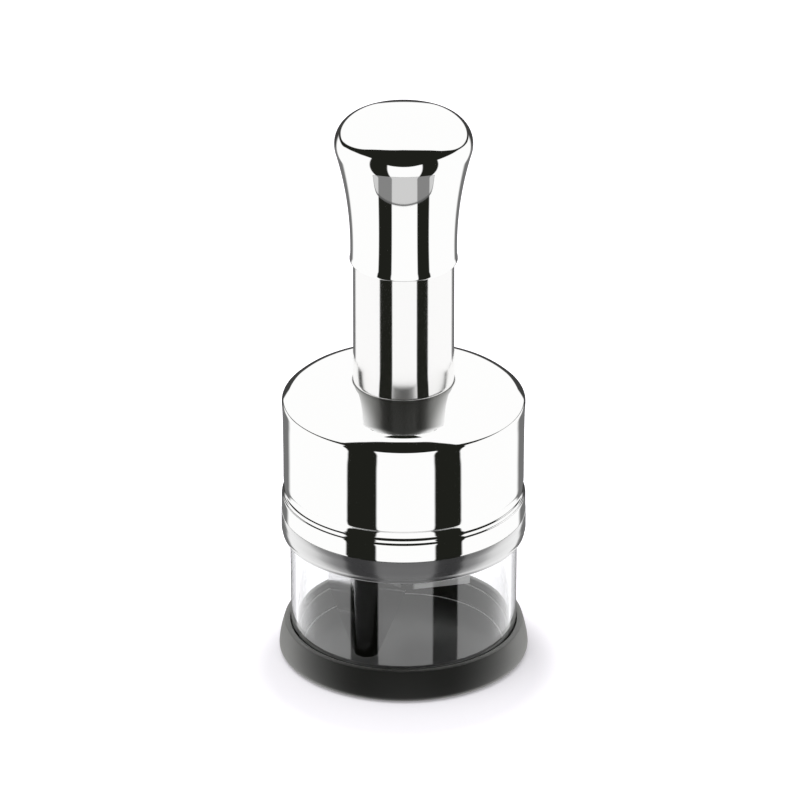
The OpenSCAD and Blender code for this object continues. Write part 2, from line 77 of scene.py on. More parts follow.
def add_object(name, data):
    made = bpy.data.objects.new(name, data)
    bpy.context.collection.objects.link(made)
    return made


def make_camera():
    data = bpy.data.cameras.new("camera")
    camera = add_object("camera", data)
    camera.location = AIM + CAMERA_FAR * Vector((0, -cos(LOOK_DOWN), sin(LOOK_DOWN)))
    camera.rotation_euler = (pi / 2 - LOOK_DOWN, 0, 0)
    data.sensor_width = FILM_WIDTH
    data.lens = FILM_WIDTH * CAMERA_FAR / FRAME_WIDTH
    data.clip_start = 0.1
    data.clip_end = 60
    return camera


camera = make_camera()
bpy.context.scene.camera = camera
bpy.context.scene.view_settings.view_transform = "Standard"
print("camera lens", round(camera.data.lens, 1), "mm")

# %% [markdown]
# ## Small helpers for node trees
# Every finish below is a few nodes. Helpers that add one node and link what goes
# into it keep each finish readable as a short recipe.

# %% Node helpers


def feed(tree, socket, value):
    """Links a socket into another, or sets a plain value on it."""
    if isinstance(value, bpy.types.NodeSocket):
        tree.links.new(value, socket)
    else:
        socket.default_value = value


def set_inputs(tree, node, values):
    """Sets or links a node's inputs by their names."""
    for name, value in values.items():
        feed(tree, node.inputs[name], value)


def maths(tree, kind, operation, values):
    node = tree.nodes.new(kind)
    node.operation = operation
    for socket, value in zip(node.inputs, values):
        feed(tree, socket, value)
    return node.outputs


def calc(tree, operation, *values):
    return maths(tree, "ShaderNodeMath", operation, values)[0]


def calc_int(tree, operation, *values):
    return maths(tree, "FunctionNodeIntegerMath", operation, values)[0]


def calc_vector(tree, operation, *values):
    return maths(tree, "ShaderNodeVectorMath", operation, values)[0]


def opposite(tree, share):
    return calc(tree, "SUBTRACT", 1, share)


def blend_value(tree, share, low, high):
    node = tree.nodes.new("ShaderNodeMix")
    for index, value in zip((0, 2, 3), (share, low, high)):
        feed(tree, node.inputs[index], value)
    return node.outputs[0]


def blend_colour(tree, share, low, high):
    node = tree.nodes.new("ShaderNodeMix")
    node.data_type = "RGBA"
    for index, value in zip((0, 6, 7), (share, low, high)):
        feed(tree, node.inputs[index], value)
    return node.outputs[2]


def step(tree, value, low, high):
    """0 at low, 1 at high, and a soft step between, also where low is the greater."""
    node = tree.nodes.new("ShaderNodeMapRange")
    node.interpolation_type = "SMOOTHSTEP"
    for socket, number in zip(node.inputs, (value, low, high)):
        feed(tree, socket, number)
    return node.outputs[0]


def curve_over(tree, value, points, low, high):
    """A smooth curve through (value, result) points, results between low and high."""
    node = tree.nodes.new("ShaderNodeFloatCurve")
    first, last = points[0][0], points[-1][0]
    line = node.mapping.curves[0]
    for _ in points[2:]:
        line.points.new(0.5, 0.5)
    for point, (x, y) in zip(line.points, points):
        point.location = ((x - first) / (last - first), (y - low) / (high - low))
    node.mapping.update()
    feed(tree, node.inputs[1], calc(tree, "DIVIDE", calc(tree, "SUBTRACT", value, first), last - first))
    return calc(tree, "ADD", calc(tree, "MULTIPLY", node.outputs[0], high - low), low)


def split_xyz(tree, vector):
    split = tree.nodes.new("ShaderNodeSeparateXYZ")
    tree.links.new(vector, split.inputs[0])
    return split.outputs


def object_place(tree):
    return tree.nodes.new("ShaderNodeTexCoord").outputs["Object"]


print("node helpers ready")

# %% [markdown]
# ## The studio
# Polished steel has no colour of its own: what makes it look like steel is what it
# mirrors. The real chopper stood in a white studio, with two dark screens left and
# right in front, and a dark room above the white. The world paints these by
# direction, as reflections see them, in degrees: the turn is counted from the front
# and the rise from level. Two curves say where the white ends and the dark room
# begins. The camera itself sees plain white, and matt surfaces get an even light, so
# that their colours come out about as written.

# %% The studio's plan
WHITE_TOP = [(-180, -2), (-145, -2), (-130, 0), (-122, 1), (-111, 6), (-100, 11), (-79, 18), (-56, 21),
             (-45, 16), (-25, 6), (-12, 3), (1, 2), (14, 3.5), (26, 7), (45, 11), (62, 13), (94, 10.5),
             (110, 6), (122, 1.6), (140, -2), (180, -2)]
DARK_ROOM_TOP = [(-180, 3), (-150, 3), (-144, 4), (-129, 7), (-119, 11.7), (-107, 19), (-90, 33),
                 (-66, 64), (-45, 74), (-20, 78.6), (0, 79.6), (20, 78.6), (45, 74), (62, 64), (82, 34),
                 (109, 11), (129, 5), (150, 3), (180, 3)]
WHITE_SOFT, DARK_ROOM_SOFT, SCREEN_SOFT = 0.8, 1.0, 1.3
SCREENS = [(-56, -26), (30, 57)]
BEHIND_TURN, BEHIND_RISE = (138, 148), (-19, -23)
ROOM_DARK, BEHIND_DARK, BEHIND_GREY = 0.014, 0.05, 0.17
EVEN_LIGHT = 0.85
print("studio:", len(SCREENS), "dark screens, even light", EVEN_LIGHT)

# %% [markdown]
# Under the white lies the table in front, which the steel mirrors as a grey field
# with rounded corners and a darker rim. A high power of the turn gives it nearly
# straight sides, and the rise gives it its upper edge.

# %% The grey table in front
GREY_TOP, GREY_SIDE, GREY_POWER, GREY_SLOPE = -47.5, 65, 22, 0.5
GREY_EDGE, RIM_OUTSIDE, RIM_INSIDE = (0.25, 0.05), (0.45, 0.25), (-0.12, 0.12)
GREY_LEVEL, RIM_LEVEL, SCREEN_SHADE = 0.62, 0.12, 0.63


def add_grey_table(tree, level, side, rise, screens):
    sideways = calc(tree, "POWER", calc(tree, "DIVIDE", side, GREY_SIDE), GREY_POWER)
    upwards = calc(tree, "MULTIPLY", calc(tree, "SUBTRACT", rise, GREY_TOP), GREY_SLOPE)
    near = calc(tree, "ADD", sideways, upwards)
    rim = calc(tree, "MULTIPLY", step(tree, near, *RIM_OUTSIDE), step(tree, near, *RIM_INSIDE))
    lit = opposite(tree, calc(tree, "MULTIPLY", screens, SCREEN_SHADE))
    grey = blend_value(tree, rim, calc(tree, "MULTIPLY", GREY_LEVEL, lit), RIM_LEVEL)
    share = calc(tree, "MAXIMUM", step(tree, near, *GREY_EDGE), rim)
    return blend_value(tree, share, level, grey)


# %% The world


def mirrored_level(tree, turn, rise):
    """Brightness of the studio in one direction, as polished steel mirrors it."""
    screens = 0
    for left, right in SCREENS:
        inside = calc(tree, "MULTIPLY", step(tree, turn, left - SCREEN_SOFT, left + SCREEN_SOFT),
                      step(tree, turn, right + SCREEN_SOFT, right - SCREEN_SOFT))
        screens = calc(tree, "ADD", inside, screens)
    side = calc(tree, "ABSOLUTE", turn)
    behind = step(tree, side, *BEHIND_TURN)
    under_top = calc(tree, "SUBTRACT", curve_over(tree, turn, WHITE_TOP, -10, 30), rise)
    white = calc(tree, "MULTIPLY", step(tree, under_top, -WHITE_SOFT, WHITE_SOFT), opposite(tree, screens))
    white = calc(tree, "MULTIPLY", white, opposite(tree, behind))
    low_behind = blend_value(tree, step(tree, rise, *BEHIND_RISE), BEHIND_DARK, BEHIND_GREY)
    level = blend_value(tree, white, blend_value(tree, behind, ROOM_DARK, low_behind), 1.0)
    level = add_grey_table(tree, level, side, rise, screens)
    over_room = calc(tree, "SUBTRACT", rise, curve_over(tree, turn, DARK_ROOM_TOP, -20, 90))
    return blend_value(tree, step(tree, over_room, -DARK_ROOM_SOFT, DARK_ROOM_SOFT), level, 1.0)


def make_world():
    world = bpy.data.worlds.new("studio")
    world.use_nodes = True
    world.cycles.sampling_method = "NONE"
    tree = world.node_tree
    tree.nodes.clear()
    x, y, z = split_xyz(tree, tree.nodes.new("ShaderNodeTexCoord").outputs["Generated"])
    turn = calc(tree, "MULTIPLY", calc(tree, "ARCTAN2", x, calc(tree, "MULTIPLY", y, -1)), 180 / pi)
    rise = calc(tree, "MULTIPLY", calc(tree, "ARCSINE", z), 180 / pi)
    path = tree.nodes.new("ShaderNodeLightPath").outputs
    mirrored = calc(tree, "MAXIMUM", path["Is Glossy Ray"], path["Is Transmission Ray"])
    level = blend_value(tree, mirrored, EVEN_LIGHT, mirrored_level(tree, turn, rise))
    level = blend_value(tree, path["Is Camera Ray"], level, 1.0)
    tint = blend_colour(tree, step(tree, level, 0.02, 0.06), (0.95, 1, 0.80, 1), (1, 1, 1, 1))
    background = tree.nodes.new("ShaderNodeBackground")
    set_inputs(tree, background, {"Color": tint, "Strength": level})
    tree.links.new(background.outputs[0], tree.nodes.new("ShaderNodeOutputWorld").inputs[0])
    return world


bpy.context.scene.world = make_world()
print("world:", len(bpy.context.scene.world.node_tree.nodes), "nodes")

# %% [markdown]
# ## The floor and the lamp
# The chopper stands on a white table that runs on into the white background. The
# table's own colour is pale. What the camera sees of it is lifted to white by a glow
# that diffuse rays don't get, so it lights nothing. The glow is painted weaker close to
# the base, a little more in front: a painted shadow round the base, over the real soft
# shadow. One wide lamp above gives the shadow a side.

# %% Floor and lamp
TABLE_HALF = 6
# The painted shadow: centred 20 mm in front of the axis, the glow rises from GLOW_NEAR to GLOW_FAR between
# these distances.
SHADOW_SHIFT = (0, 0.02, 0)
SHADOW_FROM, SHADOW_TO = 0.052, 0.080
GLOW_NEAR, GLOW_FAR = 0.19, 0.72


def material(name):
    """A new material with its tree and its main shader."""
    made = bpy.data.materials.new(name)
    made.use_nodes = True
    tree = made.node_tree
    return made, tree, tree.nodes["Principled BSDF"]


def make_floor():
    mesh = bpy.data.meshes.new("table_top")
    corners = [(x * TABLE_HALF, y * TABLE_HALF, 0) for x, y in ((-1, -1), (1, -1), (1, 1), (-1, 1))]
    mesh.from_pydata(corners, [], [(0, 1, 2, 3)])
    floor = add_object("table_top", mesh)
    made, tree, shader = material("white_table")
    path = tree.nodes.new("ShaderNodeLightPath").outputs
    seen = calc(tree, "MAXIMUM", path["Is Camera Ray"], path["Is Transmission Ray"])
    seen = calc(tree, "MAXIMUM", seen, path["Is Glossy Ray"])
    # painted shadow: the glow is weaker near the base
    shifted = calc_vector(tree, "ADD", object_place(tree), SHADOW_SHIFT)
    away = maths(tree, "ShaderNodeVectorMath", "LENGTH", [shifted])["Value"]
    glow = blend_value(tree, step(tree, away, SHADOW_FROM, SHADOW_TO), GLOW_NEAR, GLOW_FAR)
    set_inputs(tree, shader, {
        "Base Color": (0.79, 0.78, 0.81, 1), "Roughness": 0.9, "Specular IOR Level": 0,
        "Emission Color": (0.99, 0.96, 1, 1), "Emission Strength": calc(tree, "MULTIPLY", seen, glow)})
    mesh.materials.append(made)
    floor.visible_glossy = False


def make_lamp():
    data = bpy.data.lights.new("wide_lamp", "AREA")
    data.shape = "DISK"
    data.size = 1.2
    data.energy = 9
    lamp = add_object("wide_lamp", data)
    lamp.location = (-0.35, -0.45, 1.5)
    lamp.rotation_euler = (Vector((0, 0, 0.1)) - lamp.location).to_track_quat("-Z", "Y").to_euler()
    lamp.visible_glossy = False
    lamp.visible_camera = False
    lamp.visible_transmission = False
    return lamp


make_floor()
lamp = make_lamp()
print("lamp:", lamp.data.energy, "W, wide", lamp.data.size, "m")

# %% [markdown]
# ## Turned shapes
# Most pieces of the chopper are round: they are spun, drawn or turned. A profile
# beside the axis says all about such a piece. Geometry Nodes turn it: a grid gets one
# row for each point of the profile and one column for each step round the axis, and
# every point of the grid is moved to its place. The same tree serves all the round
# pieces, with the number of steps and the finish as its inputs.

# %% Lines of a profile


def arc(cx, cz, r, start, end, count=24):
    """Points on an arc, angles in degrees."""
    angles = [radians(start + (end - start) * i / count) for i in range(count + 1)]
    return [(cx + r * cos(a), cz + r * sin(a)) for a in angles]


def through(points, count):
    """A smooth line through points, count steps from each to the next."""
    line = []
    for i in range(len(points) - 1):
        a, b = points[max(i - 1, 0)], points[i]
        c, d = points[i + 1], points[min(i + 2, len(points) - 1)]
        for k in range(count):
            t = k / count
            line.append(tuple(
                (2 * q + (r - p) * t
                 + (2 * p - 5 * q + 4 * r - s) * t * t
                 + (3 * q - p - 3 * r + s) * t ** 3) / 2
                for p, q, r, s in zip(a, b, c, d)))
    return line + [points[-1]]


def dense(points, longest):
    """The same line with long stretches cut into shorter ones."""
    line = []
    for (x0, z0), (x1, z1) in zip(points, points[1:]):
        parts = max(1, int(sqrt((x1 - x0) ** 2 + (z1 - z0) ** 2) / longest))
        line += [(x0 + (x1 - x0) * k / parts, z0 + (z1 - z0) * k / parts) for k in range(parts)]
    return line + [points[-1]]


print("a quarter circle has", len(arc(0, 0, 1, 0, 90)), "points")

# %% Helpers for geometry trees
WELD = 1e-7


def geometry_tree(name, inputs):
    tree = bpy.data.node_groups.new(name, "GeometryNodeTree")
    tree.interface.new_socket("Geometry", in_out="INPUT", socket_type="NodeSocketGeometry")
    for label, kind in inputs:
        tree.interface.new_socket(label, in_out="INPUT", socket_type="NodeSocket" + kind)
    tree.interface.new_socket("Geometry", in_out="OUTPUT", socket_type="NodeSocketGeometry")
    return tree, tree.nodes.new("NodeGroupInput").outputs, tree.nodes.new("NodeGroupOutput").inputs


def add_node(tree, kind, *values, **settings):
    """One geometry node with its settings, and its inputs by position or by name."""
    node = tree.nodes.new(kind)
    inputs = settings.pop("inputs", {})
    for key, value in settings.items():
        setattr(node, key, value)
    for socket, value in list(zip(node.inputs, values)) + [(node.inputs[k], v) for k, v in inputs.items()]:
        if value is not None:
            feed(tree, socket, value)
    return node


def close_tree(tree, shape, finish, end):
    """Realize Instances and Set Material, which every tree here ends with."""
    real = add_node(tree, "GeometryNodeRealizeInstances", shape)
    last = add_node(tree, "GeometryNodeSetMaterial", real.outputs[0], inputs={"Material": finish})
    tree.links.new(last.outputs[0], end[0])


def point_count(tree, geometry):
    return add_node(tree, "GeometryNodeAttributeDomainSize", geometry).outputs["Point Count"]


def sample_place(tree, geometry, index, clamp=False):
    """The position of one point of a geometry."""
    place = add_node(tree, "GeometryNodeInputPosition").outputs[0]
    node = add_node(tree, "GeometryNodeSampleIndex", data_type="FLOAT_VECTOR", domain="POINT", clamp=clamp,
                    inputs={"Geometry": geometry, "Value": place, "Index": index})
    return node.outputs[0]


def grid_of(tree, columns, rows):
    """A grid, and the column and the row of each of its points."""
    grid = add_node(tree, "GeometryNodeMeshGrid",
                    inputs={"Size X": 1.0, "Size Y": 1.0, "Vertices X": columns, "Vertices Y": rows})
    index = add_node(tree, "GeometryNodeInputIndex").outputs[0]
    return grid.outputs[0], calc_int(tree, "DIVIDE_FLOOR", index, rows), calc_int(tree, "MODULO", index, rows)


def close_grid(tree, grid, spot, finish, end):
    """Moves a grid's points to their places, welds its seams and ends the tree."""
    moved = add_node(tree, "GeometryNodeSetPosition", grid, inputs={"Position": spot})
    welded = add_node(tree, "GeometryNodeMergeByDistance", moved.outputs[0], inputs={"Distance": WELD})
    close_tree(tree, welded.outputs[0], finish, end)


def on_circle(tree, radius, angle, height=0.0):
    return add_node(tree, "ShaderNodeCombineXYZ", calc(tree, "MULTIPLY", radius, calc(tree, "COSINE", angle)),
                    calc(tree, "MULTIPLY", radius, calc(tree, "SINE", angle)), height).outputs[0]


print("every grid is welded at", WELD, "m")

# %% The turning tree


def make_turning_tree():
    tree, start, end = geometry_tree("turned_piece", [("Steps", "Int"), ("Finish", "Material")])
    columns = calc_int(tree, "ADD", start["Steps"], 1)
    grid, column, row = grid_of(tree, columns, point_count(tree, start["Geometry"]))
    away, _, height = split_xyz(tree, sample_place(tree, start["Geometry"], row))
    angle = calc(tree, "MULTIPLY", calc(tree, "DIVIDE", column, start["Steps"]), 2 * pi)
    close_grid(tree, grid, on_circle(tree, away, angle, height), start["Finish"], end)
    return tree


turning_tree = make_turning_tree()
print("turning tree:", len(turning_tree.nodes), "nodes")

# %% [markdown]
# A tree's result is read once and kept as a plain mesh, so that the piece can ride on
# a body of the mechanism. Then its normals are made to point outwards, and edges
# sharper than about 35 degrees are kept crisp, while all the rest is shaded smooth.

# %% From a tree to a piece
CRISP = radians(35)
DOUBLE, SLIVER = 2e-7, 1e-8


def tree_to_mesh(name, tree, start_mesh, **inputs):
    """Runs a geometry tree on a mesh and gives the resulting plain mesh."""
    source = add_object(name + "_start", start_mesh)
    modifier = source.modifiers.new("shape", "NODES")
    modifier.node_group = tree
    for item in tree.interface.items_tree:
        if item.in_out == "INPUT" and item.name in inputs:
            modifier[item.identifier] = inputs[item.name]
    graph = bpy.context.evaluated_depsgraph_get()
    graph.update()
    mesh = bpy.data.meshes.new_from_object(source.evaluated_get(graph))
    bpy.data.objects.remove(source)
    mesh.name = name
    mesh.materials.clear()
    mesh.materials.append(inputs["Finish"])
    mesh.polygons.foreach_set("material_index", [0] * len(mesh.polygons))
    return mesh


def tidy(mesh):
    """Merges doubles, turns all faces outwards and keeps only sharp edges crisp."""
    work = bmesh.new()
    work.from_mesh(mesh)
    bmesh.ops.remove_doubles(work, verts=work.verts, dist=DOUBLE)
    bmesh.ops.dissolve_degenerate(work, edges=work.edges, dist=SLIVER)
    bmesh.ops.recalc_face_normals(work, faces=work.faces)
    for face in work.faces:
        face.smooth = True
    work.to_mesh(mesh)
    work.free()
    mesh.set_sharp_from_angle(angle=CRISP)
    return mesh


def piece(name, mesh, body, slot, *replaced):
    """A finished piece that takes the place of solids, and rides on a body if one is given."""
    made = add_object(name, mesh)
    if body:
        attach(made, body)
    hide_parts(*replaced)
    print(name, "rides on", body or "two bodies", "-", len(mesh.polygons), "faces")
    return made


def points_mesh(name, points):
    """A line of points in metres, as the start of a tree."""
    mesh = bpy.data.meshes.new(name)
    mesh.from_pydata(points, [(i, i + 1) for i in range(len(points) - 1)], [])
    return mesh


def turned(name, profile, finish, closed=True, steps=256):
    """A turned piece from a profile in millimetres. A closed profile runs round a ring."""
    line = list(profile) + ([profile[0]] if closed else [])
    start = points_mesh(name, [(x * MM, 0, z * MM) for x, z in line])
    return tidy(tree_to_mesh(name, turning_tree, start, Steps=steps, Finish=finish))


def turned_piece(name, profile, finish, body, solid, closed=True):
    piece(name, turned(name, profile, finishes[finish], closed), body, finish, solid)


print("edges are crisp over", round(CRISP * 180 / pi), "degrees")


# %% [markdown]
# ## Sizes
# The part's source derives every size from a few named ones. The same names and the
# same steps are repeated here, so each smooth piece lies on its solid. Only the
# housing's wall has a line of its own, which follows the photographed band, bead and
# groove more closely.

# %% Sizes in millimetres
base_r, rim_r, rim_h = 50.25, 48.2, 13.4
foot_z, foot_round = 0.4, 2.4
cup_r0, cup_r1, cup_ri = 45.4, 45.7, 42.7
cup_z0, cup_z1 = 3.1, 58.1
plug_r, plug_ri, plug_h = 42.35, 41.35, 12.0
pad_r, recess_z, floor_z = 42.35, 0.9, 1.9
board_r, board_z0, board_z1 = 41.0, 2.0, 3.4
ring_r, ring_z0, shell_z0 = 49.15, 53.2, 63.05
wall_r, wall_r1, wall_z1, shell_t = 48.3, 48.8, 111.0, 0.8
tube_r, tube_ri = 20.2, 19.3

# %% [markdown]
# The dome is four arcs that run into each other: its edge, a wider bend, a tight
# knee and the shallow dome itself, which ends in a flat cone round the tube. Each
# centre lies on the line through the last centre and the point where two arcs meet.

# %% The dome's arcs
edge_r, edge_turn = 2.2, 44
bend_r, bend_turn = 33.3, 38.5
knee_bend_r, edge_slope = 9.93, 26
flat_r, dome_slope = 39, 10
edge_x = wall_r1 - edge_r
bend_x = edge_x + (edge_r - bend_r) * sin(radians(edge_turn))
bend_z = wall_z1 + (edge_r - bend_r) * cos(radians(edge_turn))
knee_x = bend_x + (bend_r - knee_bend_r) * sin(radians(bend_turn))
knee_z = bend_z + (bend_r - knee_bend_r) * cos(radians(bend_turn))
knee_r = knee_x + knee_bend_r * sin(radians(edge_slope))
dome_r = (knee_r - flat_r) / (sin(radians(edge_slope)) - sin(radians(dome_slope)))
dome_x = knee_r - dome_r * sin(radians(edge_slope))
dome_z = knee_z + (knee_bend_r - dome_r) * cos(radians(edge_slope))


def cone_z(r, t):
    """Height of the dome's flat cone at radius r, t under its surface."""
    slope = radians(dome_slope)
    return dome_z + (dome_r - t) * cos(slope) + (dome_x + (dome_r - t) * sin(slope) - r) * tan(slope)


tube_z0 = cone_z(tube_r, 0)
lip_z = tube_z0 + 52.8
print("tube stands on the dome at", round(tube_z0, 2), "mm, knob's lip at", round(lip_z, 2), "mm")

# %% [markdown]
# ## The steel finishes
# The housing and the knob are stamped from sheet and polished on a wheel. The tube is
# ground while it turns, which leaves fine rings: they spread a reflection up and down
# but keep it sharp sideways. Where the dome mirrors the tube, the tube's colour is
# painted dark at its foot and middle and paler above and aside, for mirror rays only:
# a painted shade in that reflection. Screws, spring and pins are plain machine steel.

# %% Patterns and parts of a finish


def texture(tree, vector, scale, detail):
    node = tree.nodes.new("ShaderNodeTexNoise")
    set_inputs(tree, node, {"Vector": vector, "Scale": scale, "Detail": detail})
    return node.outputs[0]


def noise(tree, scale, detail, stretch=(1, 1, 1)):
    """Noise on Object coordinates, stretched by a Mapping node."""
    mapping = tree.nodes.new("ShaderNodeMapping")
    set_inputs(tree, mapping, {"Vector": object_place(tree), "Scale": stretch})
    return texture(tree, mapping.outputs[0], scale, detail)


def from_axis(tree, x, y):
    return calc(tree, "SQRT", calc(tree, "ADD", calc(tree, "MULTIPLY", x, x), calc(tree, "MULTIPLY", y, y)))


def turned_rings(tree, outward, upward):
    """Fine rings about the axis: noise by distance from the axis and by height, each with its scale."""
    x, y, z = split_xyz(tree, object_place(tree))
    away = from_axis(tree, x, y)
    join = tree.nodes.new("ShaderNodeCombineXYZ")
    for socket, value, scale in zip(join.inputs, (away, away, z), (outward, outward, upward)):
        feed(tree, socket, calc(tree, "MULTIPLY", value, scale))
    return texture(tree, join.outputs[0], 1, 3)


def bump(tree, shader, height, strength, distance):
    node = tree.nodes.new("ShaderNodeBump")
    set_inputs(tree, node, {"Height": height, "Strength": strength, "Distance": distance})
    tree.links.new(node.outputs[0], shader.inputs["Normal"])


def grey(level):
    return (level, level, level, 1)


print("patterns ready")

# %% Steel
# The painted shade on the tube: its half width, the height of its foot, and how far up the shade fades.
TUBE_HALF, TUBE_FOOT, TUBE_SHADE_FADE = 0.02, 0.120, 0.055
# Where the blade's painted light lies: the third leg's painted highlight and the front fold's painted shade.
THIRD_LEG_GLINT_X = (0.003, 0.005)
FRONT_FOLD_SHADE_Y = (-0.030, -0.010)


def polished_steel():
    made, tree, shader = material("polished_steel")
    set_inputs(tree, shader, {"Base Color": (0.985, 0.985, 0.98, 1), "Metallic": 1,
                              "Roughness": blend_value(tree, noise(tree, 60, 4), 0.022, 0.040)})
    return made


def satin_tube():
    made, tree, shader = material("satin_tube")
    # painted shade for mirror rays: darker at the tube's foot and middle, paler above and aside
    x, _, z = split_xyz(tree, object_place(tree))
    aside = calc(tree, "DIVIDE", calc(tree, "ABSOLUTE", x), TUBE_HALF)
    above = calc(tree, "DIVIDE", calc(tree, "SUBTRACT", z, TUBE_FOOT), TUBE_SHADE_FADE)
    painted_shade_share = step(tree, calc(tree, "ADD", aside, calc(tree, "MULTIPLY", above, 0.9)), 0.75, 1.45)
    mirrored = blend_colour(tree, painted_shade_share, (0.3, 0.3, 0.29, 1), grey(0.9))
    glossy = tree.nodes.new("ShaderNodeLightPath").outputs["Is Glossy Ray"]
    rings = turned_rings(tree, 300, 9000)
    around = tree.nodes.new("ShaderNodeTangent")
    around.direction_type = "RADIAL"
    around.axis = "Z"
    set_inputs(tree, shader, {
        "Base Color": blend_colour(tree, glossy, (0.96, 0.955, 0.95, 1), mirrored), "Metallic": 1,
        "Roughness": blend_value(tree, glossy, blend_value(tree, rings, 0.09, 0.12), 0.3),
        "Anisotropic": 0.95, "Anisotropic Rotation": 0.25, "Tangent": around.outputs[0]})
    bump(tree, shader, rings, 0.015, 0.00002)
    return made


def plain_steel():
    made, tree, shader = material("plain_steel")
    grain = noise(tree, 900, 3)
    set_inputs(tree, shader, {"Base Color": (0.56, 0.56, 0.57, 1), "Metallic": 1,
                              "Roughness": blend_value(tree, grain, 0.22, 0.38)})
    bump(tree, shader, grain, 0.05, 0.00003)
    return made


def blade_steel():
    """Polished steel with painted light: the front fold is painted near black as a painted dark reflection,
    and the third leg pale, less metallic and rougher, as a painted highlight.
    """
    made, tree, shader = material("blade_steel")
    x, y, _ = split_xyz(tree, object_place(tree))
    # painted highlight: the third leg is painted pale, less metallic and rougher
    third = step(tree, x, *THIRD_LEG_GLINT_X)
    # painted shade: the legs are painted near black at the front fold and dark grey behind
    painted_leg_shade = blend_colour(tree, step(tree, y, *FRONT_FOLD_SHADE_Y), grey(0.010), (0.26, 0.26, 0.27, 1))
    grain = noise(tree, 500, 3, (1, 1, 0.08))
    rough = calc(tree, "ADD", blend_value(tree, grain, 0.10, 0.16), calc(tree, "MULTIPLY", third, 0.35))
    set_inputs(tree, shader, {"Base Color": blend_colour(tree, third, painted_leg_shade, grey(0.95)),
                              "Metallic": blend_value(tree, third, 1.0, 0.2), "Roughness": rough})
    bump(tree, shader, grain, 0.04, 0.00003)
    return made


finishes = {make.__name__: make() for make in (polished_steel, satin_tube, plain_steel, blade_steel)}
print("finishes:", sorted(finishes))

# %% [markdown]
# ## The plastics and rubber
# The base is satin black moulded plastic with a very fine grain, deep black in front
# with a soft sheen along its sides. The ring under the steel has a satin grey coat:
# seen straight on it is dark, and at a glancing angle it mirrors the white studio, so
# its sides brighten. Layer Weight makes both changes, as a share between two shaders.

# %% Two shaders in one finish


def surface(tree, kind, colour, **inputs):
    node = tree.nodes.new("ShaderNodeBsdf" + kind)
    set_inputs(tree, node, {"Color": colour, **inputs})
    return node.outputs[0]


def mix_surfaces(tree, share, first, second):
    node = tree.nodes.new("ShaderNodeMixShader")
    for socket, value in zip(node.inputs, (share, first, second)):
        tree.links.new(value, socket)
    return node.outputs[0]


def show_surface(tree, whole):
    tree.links.new(whole, tree.nodes["Material Output"].inputs["Surface"])


def facing(tree):
    """0 where a surface is seen straight on, 1 where it is seen along."""
    weight = tree.nodes.new("ShaderNodeLayerWeight")
    weight.inputs["Blend"].default_value = 0.5
    return weight.outputs["Facing"]


def add_sheen(tree, shader, colour, rough, points):
    """A glossy coat over a shader, whose share grows along a curve as the surface turns away."""
    sheen = surface(tree, "Glossy", colour, Roughness=rough)
    share = curve_over(tree, facing(tree), points, 0, 1)
    show_surface(tree, mix_surfaces(tree, share, shader.outputs[0], sheen))


print("mixing helpers ready")

# %% Plastics and rubber
BASE_SHEEN = [(0, 0), (0.1, 0.004), (0.22, 0.036), (0.35, 0.10), (0.5, 0.21), (0.75, 0.4), (1, 0.8)]
RING_SHEEN = [(0, 0), (0.12, 0.01), (0.23, 0.07), (0.317, 0.30), (0.435, 0.72), (0.7, 0.95), (1, 1)]
RIM_HIGHLIGHT_BAND = (0.0011, 0.0007)


def moulded(name, colour, rough, grain_scale=700, depth=0.00002, strength=0.08):
    """Plastic from a mould: one colour, a fine grain and slightly uneven gloss."""
    made, tree, shader = material(name)
    grain = noise(tree, grain_scale, 4)
    low, high = ([min(1, share * c) for c in colour] + [1] for share in (0.94, 1.06))
    set_inputs(tree, shader, {"Base Color": blend_colour(tree, noise(tree, 35, 2), low, high),
                              "Roughness": blend_value(tree, grain, rough * 0.85, rough * 1.15)})
    bump(tree, shader, grain, strength, depth)
    return made


def black_base():
    made, tree, shader = material("black_base")
    grain = noise(tree, 900, 4)
    set_inputs(tree, shader, {"Base Color": (0.009, 0.0095, 0.008, 1), "Specular IOR Level": 0.25,
                              "Roughness": blend_value(tree, grain, 0.42, 0.52)})
    bump(tree, shader, grain, 0.08, 0.00001)
    add_sheen(tree, shader, (0.8, 0.8, 0.78, 1), 0.5, BASE_SHEEN)
    return made


def black_core():
    return moulded("black_core", (0.012, 0.012, 0.012), 0.45)


def white_plastic():
    return moulded("white_plastic", (0.78, 0.78, 0.75), 0.4)


def black_rubber():
    return moulded("black_rubber", (0.015, 0.015, 0.016), 0.75, 500, 0.00005, 0.2)


def grey_board():
    """Satin grey with faint turning marks, and a painted highlight: its edge is painted pale."""
    made, tree, shader = material("grey_board")
    rings = turned_rings(tree, 2400, 300)
    x, y, _ = split_xyz(tree, object_place(tree))
    # painted highlight: a thin pale ring of colour along the board's edge
    painted_rim_highlight = step(tree, from_axis(tree, x, y), *(board_r * MM - inward for inward in RIM_HIGHLIGHT_BAND))
    flat = blend_colour(tree, rings, grey(0.014), grey(0.030))
    set_inputs(tree, shader, {"Base Color": blend_colour(tree, painted_rim_highlight, flat, grey(0.9)),
                              "Roughness": 0.36, "Specular IOR Level": 0.3})
    bump(tree, shader, rings, 0.25, 0.00004)
    return made


def grey_ring():
    made, tree, shader = material("grey_ring")
    set_inputs(tree, shader, {"Base Color": (0.045, 0.045, 0.046, 1), "Roughness": 0.16, "IOR": 1.9})
    bump(tree, shader, noise(tree, 1500, 3), 0.05, 0.00001)
    add_sheen(tree, shader, grey(0.9), 0.14, RING_SHEEN)
    return made


for make in (black_base, black_core, white_plastic, black_rubber, grey_board, grey_ring):
    finishes[make.__name__] = make()
print("finishes:", len(finishes))

